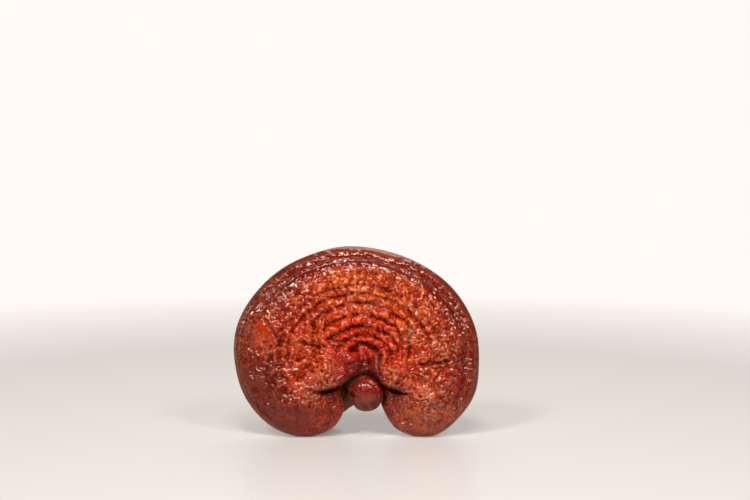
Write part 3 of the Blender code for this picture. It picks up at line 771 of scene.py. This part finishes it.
# The gloss is a coat, which is thinner where the crust is bare, where shade is painted, where it is calm or
# low, and at the rim's edge.
rough = ramp(add, link, grain, ((0.3, 0.4), (0.7, 0.6)))
link(blend(add, link, pored, rough, (0.85, 0.85, 0.85)), shader.inputs["Roughness"])
dull = pored
for place_without, amount in (
    (between(add, link, inward, 0.2, 0.0), 0.8), (dark, 0.95), (still, 0.5),
    (between(add, link, wear_and_painted_light, 0.45, 0.28), 0.9),
):
    dull = sums(add, link, "MAXIMUM", dull, sums(add, link, "MULTIPLY", place_without, amount))
link(sums(add, link, "MULTIPLY_ADD", dull, -1.0, 1.0, clamp=True), shader.inputs["Coat Weight"])
shader.inputs["Coat Roughness"].default_value = 0.05
shader.inputs["Coat IOR"].default_value = 1.6
shader.inputs["Specular IOR Level"].default_value = 0.0
link(bumped(add, link, ((dimples, 1.0, 0.6),)), shader.inputs["Normal"])
cap.data.materials.append(lacquer)
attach(cap, "root")
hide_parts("cap")


# The stem is the same flesh in a darker bark. Its blunt front end shows in the notch, and it bends back
# under the cap and down to the flat cut that it rests on, where it was sawn off the wood.

STEM = (  # x, y, z and radius, from the front end to the foot. The last point only sets the cut's direction
    (4.6, -5.6, 23.3, 0.0), (4.6, -5.3, 23.3, 3.0), (4.6, -4.4, 23.2, 5.2), (4.6, -2.6, 23.0, 6.8),
    (4.9, 0.4, 22.9, 8.2), (4.9, 4.2, 22.7, 9.0),
    (2.8, 10.8, 25.0, 9.3), (-1.6, 17.0, 24.8, 9.4), (-8.0, 22.0, 20.0, 9.0), (-14.8, 25.4, 13.0, 8.4),
    (-20.2, 27.6, 6.6, 8.1), (-23.0, 28.6, 2.4, 8.4), (-23.8, 28.8, 0.0, 8.9), (-24.0, 28.8, -2.0, 8.9),
)
STEM_COLUMNS, STEM_ROWS, FOOT_ROWS = 140, 150, 12
FRONT_CROWDING = 1.15  # over 1, so that the rows stand closer together at the front end
FOOT_CLEARANCE = 0.2  # the bark ends this far over the cut's plane
FURROW_DEPTH, FOLD_DEPTH = 0.36, 0.7
BOXY, TALLER = 0.08, 0.2  # how far the front end is from round

path = through(STEM)
path = path[path[:, 2] >= 0]
travelled = np.concatenate([[0], np.cumsum(np.linalg.norm(np.diff(path, axis=0), axis=1))])
last = STEM_ROWS - FOOT_ROWS
stops = np.linspace(0, 1, last + 1) ** FRONT_CROWDING * travelled[-1]
rings = np.stack([np.interp(stops, travelled, along) for along in path.T], axis=1)

# At each ring, the way ahead along the stem, the way up from it and the way to its side.
ahead = np.gradient(rings[:, :3], axis=0)
ahead[-1] = (0, 0, -1)
ahead /= np.linalg.norm(ahead, axis=1)[:, None]
ups = np.zeros_like(ahead)
up = np.array((0.0, 0.0, 1.0))
for k, heading in enumerate(ahead):
    up = up - heading * (up @ heading)
    up /= np.linalg.norm(up)
    ups[k] = up
sides = np.cross(ups, ahead)

stem, row, column = ball("stem_bark", STEM_COLUMNS, STEM_ROWS)
ring = np.minimum(row, last)
angle = math.tau * column / STEM_COLUMNS
gone = stops[ring]
into_foot = np.clip((STEM_ROWS - row) / FOOT_ROWS, 0, 1)
radius = rings[ring, 3] * into_foot
round_x, round_z = 7 * np.cos(angle) + 0.35 * gone, 7 * np.sin(angle)
knobs = 0.4 * swell(round_x, round_z, 5, 31) + 0.16 * swell(3 * round_x, 3 * round_z, 4.5, 32)
furrows = 1 - np.abs(swell(20 * np.cos(angle), 20 * np.sin(angle) + 0.25 * gone, 5, 33)) * 2
front = 1 - smooth_step(2, 6, gone)
bark = smooth_step(0.5, 3, gone)
radius += bark * ((1 - 0.2 * front) * knobs + FURROW_DEPTH * np.clip(furrows, -1, 0.4)) * into_foot
radius *= 1 + BOXY * front * np.sin(2 * angle) ** 2 * np.sign(np.cos(angle))
tall = 1 + TALLER * (1 - smooth_step(6, 16, gone))
outward = (np.cos(angle) * tall)[:, None] * ups[ring] + np.sin(angle)[:, None] * sides[ring]
spots = rings[ring, :3] + radius[:, None] * outward
from_middle = spots[:, 0] - STEM_MIDDLE
folds = np.exp(-((from_middle + 2.5) / 0.6) ** 2) + 0.7 * np.exp(-((from_middle - 3.4) / 0.5) ** 2)
folds *= front
spots[:, 1] += FOLD_DEPTH * folds
spots[:, 2] = np.where(row >= last, 0, np.maximum(spots[:, 2], FOOT_CLEARANCE))
spots[:, 0] += shift_x
spots[:, 1] += shift_y
low = np.clip((25 - spots[:, 2]) / 7, 0, 1)
far_back = smooth_step(7, 12, gone - 8 * np.clip(np.cos(angle), 0, 1))
shape(stem, spots, {
    "down": np.maximum(low, far_back),
    "cut": (row >= last).astype(float),
    "painted_furrow_shade": np.maximum(smooth_step(0.1, -0.9, furrows) * bark, 0.8 * folds),
})

# The bark is glossy maroon at the front end, matt brown further down and back, and bare wood at the cut.
bark_finish, add, link, shader = new_finish("stem_bark")
place = add("ShaderNodeTexCoord").outputs["Object"]
down = reading(add, "down")
cut = reading(add, "cut")
patch = mottle(add, link, place, 4, 4)
grain = mottle(add, link, place, 0.9, 4, 0.65)
skin = ramp(add, link, patch, (
    (0.3, (0.120, 0.006, 0.004)), (0.5, (0.220, 0.009, 0.005)), (0.7, (0.330, 0.030, 0.007)),
))
matt = between(add, link, down, 0.25, 0.8)
skin = blend(add, link, matt, skin, ramp(add, link, patch, (
    (0.35, (0.085, 0.024, 0.014)), (0.65, (0.190, 0.058, 0.032)),
)))
skin = blend(add, link, between(add, link, grain, 0.45, 0.8), skin, (1.4, 1.5, 1.5), "MULTIPLY")
# Painted shade: the furrows and folds are painted darker.
skin = blend(add, link, reading(add, "painted_furrow_shade"), skin, (0.4, 0.3, 0.3), "MULTIPLY")
wood = ramp(add, link, mottle(add, link, place, 1.4, 5, 0.7), (
    (0.3, (0.120, 0.060, 0.030)), (0.7, (0.300, 0.180, 0.100)),
))
skin = blend(add, link, cut, skin, wood)
link(skin, shader.inputs["Base Color"])
rough = blend(add, link, matt, (0.35, 0.35, 0.35), (0.6, 0.6, 0.6))
link(blend(add, link, cut, rough, (0.9, 0.9, 0.9)), shader.inputs["Roughness"])
coat = sums(add, link, "MULTIPLY_ADD", sums(add, link, "MAXIMUM", matt, cut), -0.9, 1.0, clamp=True)
link(coat, shader.inputs["Coat Weight"])
shader.inputs["Coat Roughness"].default_value = 0.06
shader.inputs["Coat IOR"].default_value = 1.45
shader.inputs["Specular IOR Level"].default_value = 0.1
relief = bumped(add, link, ((patch, 1.0, 0.5), (grain, 0.4, 0.5)))
link(relief, shader.inputs["Normal"])
stem.data.materials.append(bark_finish)
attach(stem, "root")
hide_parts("stem")


# The table is one flat sheet of white, slightly glossy card, which grows as bright with distance as the
# white behind it. Four square lamps in front and above, and a wider one behind, light the mushroom.

PAPER = (1.0, 0.956, 0.913)
GLOW_FROM, GLOW_TO, FILL_GLOW_NEAR_MIDDLE = 0.24, 0.6, 0.2  # metres from the middle, and the share of glow near it, a painted fill light that lightens the shadows there
bpy.ops.mesh.primitive_plane_add(size=60, location=(0, 0, 0))
floor = bpy.context.object
floor.name = "floor"
card, add, link, shader = new_finish("white_card")
shader.inputs["Base Color"].default_value = (0.70, 0.69, 0.73, 1)
shader.inputs["Roughness"].default_value = 0.3
shader.inputs["Specular IOR Level"].default_value = 0.3
away = add("ShaderNodeVectorMath", operation="LENGTH")
link(add("ShaderNodeTexCoord").outputs["Object"], away.inputs[0])
glow = add("ShaderNodeEmission")
glow.inputs["Color"].default_value = (*PAPER, 1)
mixed = add("ShaderNodeMixShader")
glowing = between(add, link, away.outputs["Value"], GLOW_FROM, GLOW_TO)
# Near the middle the card glows by this share too, a painted fill light that lightens the shadows around the
# mushroom.
link(sums(add, link, "MAXIMUM", glowing, FILL_GLOW_NEAR_MIDDLE), mixed.inputs[0])
link(shader.outputs[0], mixed.inputs[1])
link(glow.outputs[0], mixed.inputs[2])
link(mixed.outputs[0], card.node_tree.nodes["Material Output"].inputs["Surface"])
floor.data.materials.append(card)

# The studio gives soft light, more from behind than from the front, and is seen as plain white.
world = bpy.data.worlds.new("studio")
bpy.context.scene.world = world
world.use_nodes = True
nodes, links = world.node_tree.nodes, world.node_tree.links
around = nodes["Background"]
around.inputs["Color"].default_value = (*PAPER, 1)
facing = nodes.new("ShaderNodeSeparateXYZ")
links.new(nodes.new("ShaderNodeTexCoord").outputs["Generated"], facing.inputs[0])
spread = nodes.new("ShaderNodeMapRange")
for socket, value in (("From Min", 0.1), ("From Max", 1.0), ("To Min", 0.04), ("To Max", 0.45)):
    spread.inputs[socket].default_value = value
links.new(facing.outputs["Y"], spread.inputs["Value"])
links.new(spread.outputs["Result"], around.inputs["Strength"])
seen = nodes.new("ShaderNodeBackground")
seen.inputs["Color"].default_value = (*PAPER, 1)
ray = nodes.new("ShaderNodeLightPath")
either = nodes.new("ShaderNodeMixShader")
links.new(ray.outputs["Is Camera Ray"], either.inputs[0])
links.new(around.outputs[0], either.inputs[1])
links.new(seen.outputs[0], either.inputs[2])
links.new(either.outputs[0], nodes["World Output"].inputs["Surface"])


WARM = (1.0, 0.93, 0.80)
centre = (cad_box[0] + cad_box[1]) / 2
for name, place, size, power in (
    ("left_light", (-0.60, -0.75, 1.00), 0.28, 8.2),
    ("right_light", (0.60, -0.75, 0.95), 0.28, 5.2),
    ("top_light", (0.05, -0.75, 1.05), 0.28, 5.6),
    ("high_light", (-0.15, -0.45, 1.25), 0.28, 3.6),
    ("back_light", (0.10, 0.90, 0.90), 0.8, 4.2),
):
    light = bpy.data.lights.new(name, "AREA")
    light.size = size
    light.energy = power
    light.color = WARM
    lamp = bpy.data.objects.new(name, light)
    bpy.context.scene.collection.objects.link(lamp)
    lamp.location = place
    lamp.rotation_euler = (Vector(centre) - Vector(place)).to_track_quat("-Z", "Y").to_euler()

# The camera stands straight in front and looks a little down.
camera_data = bpy.data.cameras.new("camera")
camera = bpy.data.objects.new("camera", camera_data)
bpy.context.scene.collection.objects.link(camera)
bpy.context.scene.camera = camera
camera_data.lens = 85
camera_data.clip_start = 0.01
away, rise = 0.924, math.radians(5.5)
aim = Vector((0.0099, -0.015, 0.099))
camera.location = aim + Vector((0, -math.cos(rise), math.sin(rise))) * away
camera.rotation_euler = (math.radians(90) - rise, 0, 0)
bpy.context.scene.view_settings.view_transform = "Standard"
